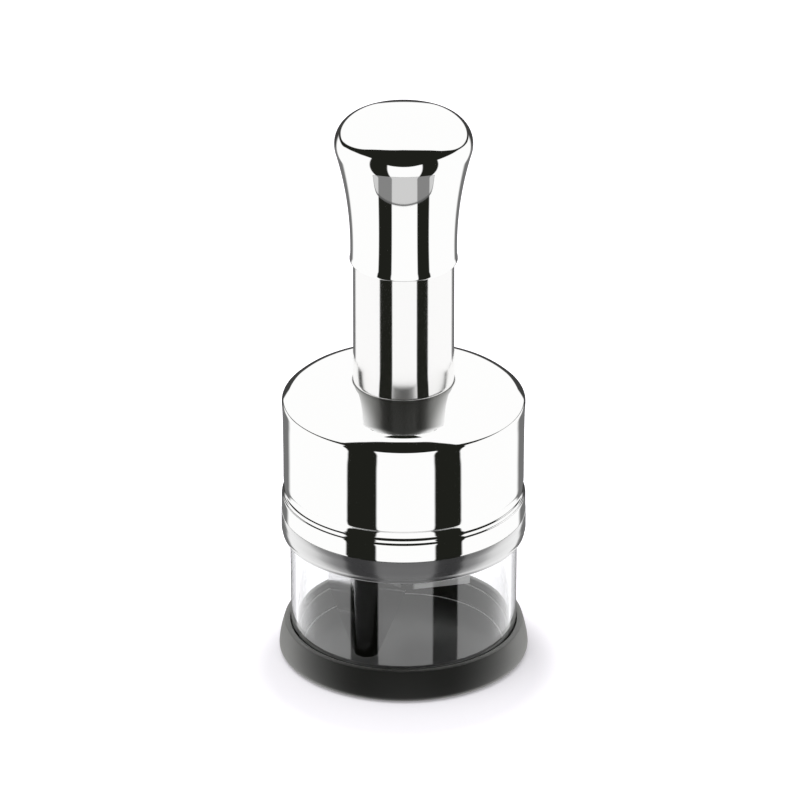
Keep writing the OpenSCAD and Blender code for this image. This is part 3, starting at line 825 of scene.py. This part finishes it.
# %% [markdown]
# ## The clear plastics
# The cup is clear styrene with polished faces. Its wall bends light, and its outer
# face mirrors more the flatter it is seen. From inside the wall, only light at a
# steep angle turns back: full inner reflection would lay a grey veil over the dark
# bands. The gasket is clear silicone, a little cloudy. Light for the inside passes
# straight through both, because a refracted shadow would leave the inside too dark.

# %% Clear cup and silicone
STYRENE_IOR = 1.5
STEEP = (0.17, 0.23)
STRAIGHT_GLOSS, GLANCE_GLOSS, GLANCE_POWER = 0.14, 0.86, 3


def let_light_in(tree, wall, tint):
    """Shows the wall to the eye, and only its tint to shadow and diffuse rays."""
    path = tree.nodes.new("ShaderNodeLightPath").outputs
    share = calc(tree, "MAXIMUM", path["Is Shadow Ray"], path["Is Diffuse Ray"])
    show_surface(tree, mix_surfaces(tree, share, wall, surface(tree, "Transparent", tint)))


def clear_cup():
    made, tree, shader = material("clear_cup")
    tree.nodes.remove(shader)
    tint = (0.995, 1, 0.998, 1)
    turned_away = facing(tree)
    inside = tree.nodes.new("ShaderNodeNewGeometry").outputs["Backfacing"]
    steep = calc(tree, "MULTIPLY", inside, step(tree, turned_away, *STEEP))
    passing = surface(tree, "Refraction", tint, Roughness=0, IOR=STYRENE_IOR)
    turning_back = surface(tree, "Glass", tint, Roughness=0, IOR=STYRENE_IOR)
    glance = calc(tree, "MULTIPLY", calc(tree, "POWER", turned_away, GLANCE_POWER), GLANCE_GLOSS)
    share = calc(tree, "MULTIPLY", calc(tree, "ADD", glance, STRAIGHT_GLOSS), opposite(tree, inside))
    wall = mix_surfaces(tree, steep, passing, turning_back)
    mirror = surface(tree, "Glossy", tint, Roughness=0.01)
    let_light_in(tree, mix_surfaces(tree, share, wall, mirror), grey(1))
    return made


def clear_silicone():
    made, tree, shader = material("clear_silicone")
    set_inputs(tree, shader, {"Base Color": (0.9, 0.9, 0.88, 1), "Roughness": 0.35, "IOR": 1.41,
                              "Transmission Weight": 1})
    bump(tree, shader, noise(tree, 25, 1), 0.02, 0.00002)
    let_light_in(tree, shader.outputs[0], (0.8, 0.8, 0.78, 1))
    return made


for make in (clear_cup, clear_silicone):
    finishes[make.__name__] = make()
print("finishes:", len(finishes))

# %% [markdown]
# ## The housing
# A drawn steel shell. Its wall has a wide band at the foot, a narrow bead and a groove
# over it, and then rises almost straight to the dome. Each change of slope shows as a
# bright or dark band, so the wall is one smooth line through a few points, and the
# dome carries it on with arcs. The inner face is the same line, one sheet further in.

# %% The housing's wall
LOWER_WALL = [(49.02, 63.6), (49.01, 64.6), (49.0, 66.0), (48.99, 68.0), (48.98, 69.6), (48.95, 70.2),
              (48.85, 70.6), (48.58, 71.0), (48.46, 71.25), (48.42, 71.6), (48.41, 72.0), (48.35, 72.3),
              (48.02, 72.85), (47.88, 73.2), (47.84, 73.6), (47.81, 74.5), (47.81, 75.1), (47.84, 75.5),
              (47.92, 75.85), (48.12, 76.1), (48.22, 76.4), (48.26, 76.9), (48.28, 78.0), (48.28, 79.5)]
UPPER_WALL = [(48.29, 83.0), (48.30, 88.0), (48.35, 94.0), (48.42, 100.0), (48.52, 105.0), (48.68, 108.5),
              (48.78, 110.2), (48.80, 110.8), (48.80, 111.0)]
OUTER_STEPS, INNER_STEPS = 5, 1
INNER_LEAST = 47.15


def wall_line(count):
    return through(LOWER_WALL + UPPER_WALL, count)


print("wall:", len(wall_line(OUTER_STEPS)), "points outside,", len(wall_line(INNER_STEPS)), "inside")

# %% Housing shell
cone_r = tube_r + 0.7
NECK = [(0.5, 0), (0.3, 0.08), (0.15, 0.22), (0.06, 0.42)]


def neck_line(t):
    """The dome's hole, where the sheet turns down a little beside the tube."""
    return [(tube_r + out, cone_z(cone_r, t) - down) for out, down in NECK]


def dome_line(t):
    """The dome from the wall to its hole, t under its surface."""
    arcs = [(edge_x, wall_z1, edge_r, 0, edge_turn, 20), (bend_x, bend_z, bend_r, edge_turn, bend_turn, 12),
            (knee_x, knee_z, knee_bend_r, bend_turn, edge_slope, 14),
            (dome_x, dome_z, dome_r, edge_slope, dome_slope, 24)]
    line = []
    for x, z, r, slope_from, slope_to, count in arcs:
        first = 90 - slope_from if slope_from else 0
        line += arc(x, z, r - t, first, 90 - slope_to, count)[1:]
    return line + dense([(flat_r, cone_z(flat_r, t)), (cone_r, cone_z(cone_r, t))], 1.5)[1:] + neck_line(t)


def housing_profile():
    lip = [(wall_r - shell_t, shell_z0), (48.9, shell_z0), (49.0, shell_z0 + 0.1)]
    inner = [(max(x - shell_t, INNER_LEAST), z) for x, z in wall_line(INNER_STEPS)] + dome_line(shell_t)
    return lip + wall_line(OUTER_STEPS) + dome_line(0) + inner[::-1]


turned_piece("housing_steel", housing_profile(), "polished_steel", "housing", "housing_shell")

# %% [markdown]
# ## The knob
# The knob is drawn from one sheet: a straight lip, a waist that widens upwards in a
# long arc, a round shoulder and a crown. Each arc runs into the next at one slope.

# %% Knob shell
lip_r, lip_h, straight_h = 21.56, 5.7, 2.4
waist_z, waist_r, flare_h = lip_z + lip_h, 21.26, 44.65
knob_r, shoulder_r, crown_slope, knob_wall = 27.55, 10.2, 13, 1.0
shoulder_x, shoulder_z = knob_r - shoulder_r, waist_z + flare_h
waist_gap = waist_r - shoulder_x
waist_arc = (waist_gap ** 2 + flare_h ** 2 - shoulder_r ** 2) / (2 * (shoulder_r - waist_gap))
flare_tilt = atan(flare_h / (waist_arc + waist_gap)) * 180 / pi
crown_r = shoulder_x / sin(radians(crown_slope)) + shoulder_r
crown_z = shoulder_z - shoulder_x / tan(radians(crown_slope))


def knob_line(t):
    """The knob from its lip to the top of its crown, t under its surface."""
    foot = 180 + asin((lip_h - straight_h) / waist_arc) * 180 / pi
    return (arc(waist_r + waist_arc, waist_z, waist_arc + t, foot, 180 - flare_tilt, 72)
            + arc(shoulder_x, shoulder_z, shoulder_r - t, -flare_tilt, 90 - crown_slope, 40)[1:]
            + arc(0, crown_z, crown_r - t, 90 - crown_slope, 90, 36)[1:])


def knob_profile():
    """From the crown's inside, down and round the lip, to the crown's outside."""
    round_lip = [(0.4, 0), (0.12, 0.12), (0, 0.4), (0, 0.8), (0.06, 1.1)]
    lip = [(waist_r - knob_wall, lip_z)] + [(lip_r - inward, lip_z + up) for inward, up in round_lip]
    return knob_line(knob_wall)[::-1] + lip + knob_line(0)


turned_piece("knob_steel", knob_profile(), "polished_steel", "knob", "knob_shell", closed=False)

# %% [markdown]
# ## The tube
# A length of tube with a small flange that lies under the dome.

# %% Tube
flange_r, flange_t, flange_gap, tube_in_knob = tube_r + 4, 1, 0.1, 19.5
flange_z1 = cone_z(flange_r, shell_t) - flange_gap
flange_z0, tube_z1 = flange_z1 - flange_t, lip_z + tube_in_knob
tube_profile = [(tube_ri, flange_z0), (flange_r, flange_z0), (flange_r, flange_z1), (tube_r, flange_z1)]
tube_profile += dense([(tube_r, flange_z1 + 0.2), (tube_r, tube_z1)], 4)
tube_profile += dense([(tube_ri, tube_z1), (tube_ri, flange_z1)], 4)
turned_piece("tube_steel", tube_profile, "satin_tube", "housing", "guide_tube")

# %% [markdown]
# ## The cup, the base and the board
# The cup is a clear wall, open at both ends, with a rounded mouth. It stands in the
# flared black base, which has a low ring inside that holds the board.

# %% Cup
mouth_r, foot_cut = 1.35, 0.4


def cup_profile():
    mouth_z = cup_z1 - mouth_r
    foot = [(cup_ri + foot_cut, cup_z0), (cup_r0 - foot_cut, cup_z0), (cup_r0 - 0.1, cup_z0 + 0.12),
            (cup_r0, cup_z0 + foot_cut)]
    wall = dense([(cup_r0, cup_z0 + foot_cut), (cup_r1, mouth_z)], 3)[1:]
    top = arc(cup_r1 - mouth_r, mouth_z, mouth_r, 0, 180, 20)[1:]
    inside = dense([(cup_r1 - 2 * mouth_r, mouth_z), (cup_ri, cup_z0 + foot_cut)], 3)[1:]
    return foot + wall + top + inside


turned_piece("cup_clear", cup_profile(), "clear_cup", "cup_body", "cup")

# %% Base
skirt_steps, skirt_power, edge_cut = 32, 1.5, 0.4
ledge_r, cup_slot_r, slot_z0, pad_gap = cup_r0 + 0.75, cup_r0 + 0.35, 3.0, 0.35


def base_profile():
    """From the middle of the recess below, round the foot and over the rim, to the middle of the floor."""
    skirt_z, skirt_h = foot_z + foot_round, rim_h - edge_cut - foot_z - foot_round
    skirt = []
    for i in range(1, skirt_steps + 1):
        share = i / skirt_steps
        skirt.append((base_r - (base_r - rim_r) * share ** skirt_power, skirt_z + skirt_h * share))
    foot = arc(base_r - foot_round, skirt_z, foot_round, -90, 0, 20)
    rim = [(rim_r - 0.12, rim_h - 0.12), (rim_r - edge_cut, rim_h), (ledge_r, rim_h),
           (cup_slot_r + 0.12, rim_h - 0.12), (cup_slot_r, rim_h - edge_cut), (cup_slot_r, slot_z0)]
    plug = [(plug_r, slot_z0), (plug_r, plug_h - edge_cut), (plug_r - 0.12, plug_h - 0.12),
            (plug_r - edge_cut, plug_h), (plug_ri, plug_h), (plug_ri, floor_z)]
    recess = [(0, recess_z), (pad_r + pad_gap, recess_z), (pad_r + pad_gap, foot_z)]
    return recess + foot + skirt + rim + plug + [(0, floor_z)]


turned_piece("base_black", base_profile(), "black_base", "base", "base_cap", closed=False)

# %% Board
board_cut = 0.2
board_profile = [(0, board_z0), (board_r - board_cut, board_z0), (board_r, board_z0 + board_cut),
                 (board_r, board_z1 - board_cut), (board_r - 0.06, board_z1 - 0.06),
                 (board_r - board_cut, board_z1), (0, board_z1)]
turned_piece("board_disc", board_profile, "grey_board", "base", "board", closed=False)

# %% [markdown]
# ## The liner
# A grey moulding whose lower ring fits over the cup's mouth. The rest of it stands
# inside the steel and carries the bush on its roof, over three screw bosses.

# %% Liner
socket_r, shelf_r, shelf_z0, shelf_z1 = 46.05, 41.4, 59.5, 61.1
liner_r, liner_ri, press_r, press_h = 47.1, 44.9, 47.45, 3
roof_z1, roof_z0, hub_hole_r = 103.0, 100.0, 12.0
step_r, step_z, step_round = 48.75, 55.3, 0.6
boss_r, boss_h, boss_sink, screw_ring_r, screw_r, screw_count = 3.3, 8.0, 1.5, 29.0, 1.5, 3


def liner_profile():
    lower = [(socket_r + 0.4, ring_z0)]
    lower += arc(step_r - step_round, ring_z0 + step_round, step_round, -90, 0, 14)
    band = [(step_r, step_z - 0.35), (step_r + 0.1, step_z - 0.2), (ring_r - 0.3, step_z),
            (ring_r - 0.08, step_z + 0.12)] + dense([(ring_r, step_z + 0.35), (ring_r, shell_z0 - 0.3)], 2)
    top = [(ring_r - 0.06, shell_z0 - 0.16), (ring_r - 0.2, shell_z0 - 0.1), (liner_r, shell_z0 - 0.1)]
    roof = [(liner_r, roof_z0 - press_h), (press_r, roof_z0), (press_r, roof_z1 - 0.4),
            (press_r - 0.4, roof_z1), (hub_hole_r, roof_z1), (hub_hole_r, roof_z0), (liner_ri, roof_z0)]
    socket = [(liner_ri, shelf_z1), (shelf_r, shelf_z1), (shelf_r, shelf_z0), (socket_r, shelf_z0),
              (socket_r, ring_z0 + 0.4)]
    return lower + band + top + roof + socket


def boss_profile():
    bore_r, boss_z0 = screw_r + 0.05, roof_z0 - boss_h
    return [(bore_r, boss_z0 + boss_sink), (bore_r, boss_z0), (boss_r, boss_z0),
            (boss_r, roof_z0 + boss_sink), (bore_r, roof_z0 + boss_sink)]


liner = turned("liner_grey", liner_profile(), finishes["grey_ring"])
boss = turned("boss", boss_profile(), finishes["grey_ring"], steps=48)
print("liner", len(liner.polygons), "faces, boss", len(boss.polygons), "faces")

# %% [markdown]
# ## What stands in a ring
# Screws and bosses stand in a ring about the axis. One tree puts copies of a start
# mesh on a circle of points: it takes the ring's radius and the number of copies.

# %% The ring tree


def make_ring_tree():
    tree, start, end = geometry_tree("ring_of_pieces",
                                     [("Radius", "Float"), ("Count", "Int"), ("Finish", "Material")])
    dots = add_node(tree, "GeometryNodePoints", inputs={"Count": start["Count"]})
    share = calc(tree, "DIVIDE", add_node(tree, "GeometryNodeInputIndex").outputs[0], start["Count"])
    angle = calc(tree, "ADD", calc(tree, "MULTIPLY", share, 2 * pi), pi / 2)
    spot = on_circle(tree, start["Radius"], angle)
    placed = add_node(tree, "GeometryNodeSetPosition", dots.outputs[0], inputs={"Position": spot})
    copies = add_node(tree, "GeometryNodeInstanceOnPoints", placed.outputs[0],
                      inputs={"Instance": start["Geometry"]})
    close_tree(tree, copies.outputs[0], start["Finish"], end)
    return tree


ring_tree = make_ring_tree()


def ring_of(name, start_mesh, finish):
    return tidy(tree_to_mesh(name, ring_tree, start_mesh, Radius=screw_ring_r * MM, Count=screw_count,
                             Finish=finish))


def joined(name, *meshes):
    work = bmesh.new()
    for mesh in meshes:
        work.from_mesh(mesh)
    whole = bpy.data.meshes.new(name)
    work.to_mesh(whole)
    work.free()
    whole.materials.append(meshes[0].materials[0])
    whole.set_sharp_from_angle(angle=CRISP)
    return whole


bosses = ring_of("bosses", boss, finishes["grey_ring"])
piece("liner_grey", joined("liner_grey", liner, bosses), "housing", "grey_ring",
      "housing_liner")

# %% Screws
head_r, head_h, head_cut, tip_cut = 2.76, 1.8, 0.3, 0.4
bush_z0, bush_flange = 103.1, 3.1
screw_tip, screw_head = roof_z0 - boss_h + 3, bush_z0 + bush_flange


def screw_mesh(name, tip, head, finish):
    """An upright screw from its tip to the underside of its head, with a round socket in the head."""
    hole_r, top = head_r / 2, head + head_h
    shank = [(0, tip), (screw_r - tip_cut, tip), (screw_r, tip + tip_cut), (screw_r, head)]
    rim = [(head_r, head), (head_r, top - head_cut), (head_r - head_cut, top), (hole_r, top)]
    return turned(name, shank + rim + [(hole_r, head + head_h / 2), (0, head + head_h / 2)], finish,
                  closed=False, steps=48)


bush_screw = screw_mesh("bush_screw", screw_tip, screw_head, finishes["plain_steel"])
piece("screws_bush", ring_of("screws_bush", bush_screw, finishes["plain_steel"]),
      "housing", "plain_steel", "bush_screws")

# %% [markdown]
# ## The blade
# A strip of thin steel stands on edge and is folded twice: a round fold in front, a
# tighter one behind, and a short third leg. Its middle line is a pen's walk: straight
# for a leg, then round a corner. The first leg is as long as the blade's circle
# allows, and the other two are shares of it.

# %% The blade's path
sweep_r, fold_r, back_r, blade_t = 40.7, 4.6, 3.0, 0.8
leg_lean, third_heading, fold_dir = radians(11.5), radians(13), radians(246)
second_share, third_share = 0.9, 0.42


def blade_path():
    """Points of the strip's middle line in mm, from the left leg's end."""
    fold_at = sweep_r - fold_r - blade_t / 2
    centre = fold_at * Vector((cos(fold_dir), sin(fold_dir)))
    left = Vector((-sin(leg_lean), cos(leg_lean)))
    foot = centre - fold_r * Vector((cos(leg_lean), sin(leg_lean)))
    along = foot.dot(left)
    leg = -along + sqrt(along ** 2 - foot.length_squared + (sweep_r - blade_t) ** 2)
    spot, heading, points = foot + leg * left, leg_lean - pi / 2, []

    def run(length, count):
        nonlocal spot
        ahead = Vector((cos(heading), sin(heading)))
        points.extend(spot + length * k / count * ahead for k in range(count))
        spot = spot + length * ahead

    def turn(radius, angle, side, count):
        """Side is 1 for a turn to the left and -1 for one to the right."""
        nonlocal spot, heading
        middle = spot + radius * side * Vector((-sin(heading), cos(heading)))
        angles = [heading + side * angle * k / count for k in range(count + 1)]
        line = [middle + radius * side * Vector((sin(a), -cos(a))) for a in angles]
        points.extend(line[:-1])
        spot, heading = line[-1], angles[-1]

    run(leg, 12)
    turn(fold_r, pi - 2 * leg_lean, 1, 28)
    run(leg * second_share, 12)
    turn(back_r, pi / 2 - leg_lean - third_heading, -1, 14)
    run(leg * third_share, 6)
    return points + [spot]


path = blade_path()
ends = [[round(v, 2) for v in end] for end in (path[0], path[-1])]
print("blade path:", len(path), "points, ends", *ends)

# %% [markdown]
# Geometry Nodes sweep the strip along that path. The section is ground thin at its
# lower edge. Each point of a grid takes its place on the path from its column, and
# its distance aside and its height from its row of the section.

# %% The sweeping tree


def make_strip_tree():
    """Sweeps an upright section along a flat path. A section point is (across, height)."""
    tree, start, end = geometry_tree("strip_on_path", [("Section", "Object"), ("Finish", "Material")])
    info = add_node(tree, "GeometryNodeObjectInfo", inputs={"Object": start["Section"]})
    section, line = info.outputs["Geometry"], start["Geometry"]
    around = point_count(tree, section)
    grid, column, row = grid_of(tree, point_count(tree, line), calc_int(tree, "ADD", around, 1))
    here, after, before = (
        sample_place(tree, line, at, clamp=True)
        for at in (column, calc_int(tree, "ADD", column, 1), calc_int(tree, "SUBTRACT", column, 1)))
    ahead = calc_vector(tree, "NORMALIZE", calc_vector(tree, "SUBTRACT", after, before))
    aside = calc_vector(tree, "CROSS_PRODUCT", (0, 0, 1), ahead)
    corner = sample_place(tree, section, calc_int(tree, "MODULO", row, around), clamp=True)
    across, height, _ = split_xyz(tree, corner)
    out = add_node(tree, "ShaderNodeVectorMath", aside, operation="SCALE", inputs={"Scale": across})
    lifted = add_node(tree, "ShaderNodeCombineXYZ", 0.0, 0.0, height).outputs[0]
    spot = calc_vector(tree, "ADD", calc_vector(tree, "ADD", here, out.outputs[0]), lifted)
    close_grid(tree, grid, spot, start["Finish"], end)
    return tree


strip_tree = make_strip_tree()
print("sweeping tree:", len(strip_tree.nodes), "nodes")

# %% Blade
blade_z0, blade_z1, edge_h, edge_half, back_cut = 15.0, 78.85, 2.2, 0.05, 0.1


def closed_ends(mesh):
    """Fills the two open ends of a swept strip."""
    work = bmesh.new()
    work.from_mesh(mesh)
    bmesh.ops.remove_doubles(work, verts=work.verts, dist=DOUBLE)
    bmesh.ops.holes_fill(work, edges=[e for e in work.edges if e.is_boundary], sides=0)
    work.to_mesh(mesh)
    work.free()
    return tidy(mesh)


def make_blade():
    half = blade_t / 2
    right = [(edge_half, blade_z0), (half, blade_z0 + edge_h), (half, blade_z1 - back_cut),
             (half - back_cut, blade_z1)]
    section = [(-edge_half, blade_z0)] + right + [(-x, z) for x, z in right[:0:-1]]
    outline = points_mesh("blade_section", [(x * MM, z * MM, 0) for x, z in section])
    helper = add_object("blade_section", outline)
    start = points_mesh("blade_path", [(p.x * MM, p.y * MM, 0) for p in path])
    mesh = tree_to_mesh("blade_strip", strip_tree, start, Section=helper, Finish=finishes["blade_steel"])
    bpy.data.objects.remove(helper)
    return closed_ends(mesh)


piece("blade_strip", make_blade(), "plunger", "blade_steel", "zigzag_blade")

# %% [markdown]
# ## The return spring
# A coil of round wire stands between a washer in the housing and one under the knob,
# so its foot stays and its head goes down with the knob. The coil is a path from a
# formula: its pitch shrinks to nothing at both ends, where the last turns lie flat.
# Geometry Nodes sweeps the wire along it. The mesh rides on no body, because a spring
# that kept its length on the knob would cut through the knob's core.

# %% The spring
spring_turns, flat_turns, wire_r, turn_steps, wire_sides = 9, 0.75, 0.7, 36, 12


def spring_path(r, z0, z1):
    """Points of the wire's middle line in mm. The first and last flat_turns lie almost flat."""
    flat, steps, points = flat_turns / spring_turns, spring_turns * turn_steps, []
    for i in range(steps + 1):
        share, angle = i / steps, 2 * pi * i / turn_steps
        climb = share - flat / 2
        if share < flat:
            climb = share * share / flat / 2
        elif share > 1 - flat:
            climb = 1 - flat - (1 - share) ** 2 / flat / 2
        points.append((r * cos(angle), r * sin(angle), z0 + (z1 - z0) * climb / (1 - flat)))
    return points


def make_wire_tree():
    """Sweeps a round wire along a path of joined points."""
    tree, start, end = geometry_tree("wire_on_path",
                                     [("Wire", "Float"), ("Sides", "Int"), ("Finish", "Material")])
    line = add_node(tree, "GeometryNodeMeshToCurve", start["Geometry"])
    ring = add_node(tree, "GeometryNodeCurvePrimitiveCircle",
                    inputs={"Resolution": start["Sides"], "Radius": start["Wire"]})
    swept = add_node(tree, "GeometryNodeCurveToMesh", line.outputs[0], ring.outputs[0],
                     inputs={"Fill Caps": True})
    smooth = add_node(tree, "GeometryNodeSetShadeSmooth", swept.outputs[0])
    close_tree(tree, smooth.outputs[0], start["Finish"], end)
    return tree


def make_spring():
    low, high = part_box("return_spring")
    r, z0, z1 = high[0] / MM - wire_r, low[2] / MM + wire_r, high[2] / MM - wire_r
    line = points_mesh("spring_path", [Vector(p) * MM for p in spring_path(r, z0, z1)])
    mesh = tidy(tree_to_mesh("spring_coil", make_wire_tree(), line, Wire=wire_r * MM, Sides=wire_sides,
                             Finish=finishes["plain_steel"]))
    made = piece("spring_coil", mesh, None, "plain_steel", "return_spring")
    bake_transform(made)
    print(spring_turns, "turns, radius", round(r, 2), "mm, from", round(z0, 2), "to", round(z1, 2), "mm")


make_spring()

# %% [markdown]
# ## The other solids
# The small pieces and those inside have the right shape already, so they keep their
# solids and only get their finish: the material goes into each solid's own slots.

# %% Finishes on the solids
KEPT = {
    "plain_steel": ["spring_seat", "thrust_washer", "swivel_plate", "swivel_screws", "plunger_rod",
                    "rod_clip", "cross_pin", "carrier_pin"],
    "white_plastic": ["index_bush", "tube_cap", "food_guard", "blade_carrier"],
    "black_core": ["knob_core"],
    "black_rubber": ["foot_pad", "bumper"],
    "clear_silicone": ["gasket"],
}
for finish, names in KEPT.items():
    for name in names:
        solid = nodes_in_part[name]
        if not solid.material_slots:
            solid.data.materials.append(finishes[finish])
        for place in solid.material_slots:
            place.material = finishes[finish]
    print(finish, "on", ", ".join(names))
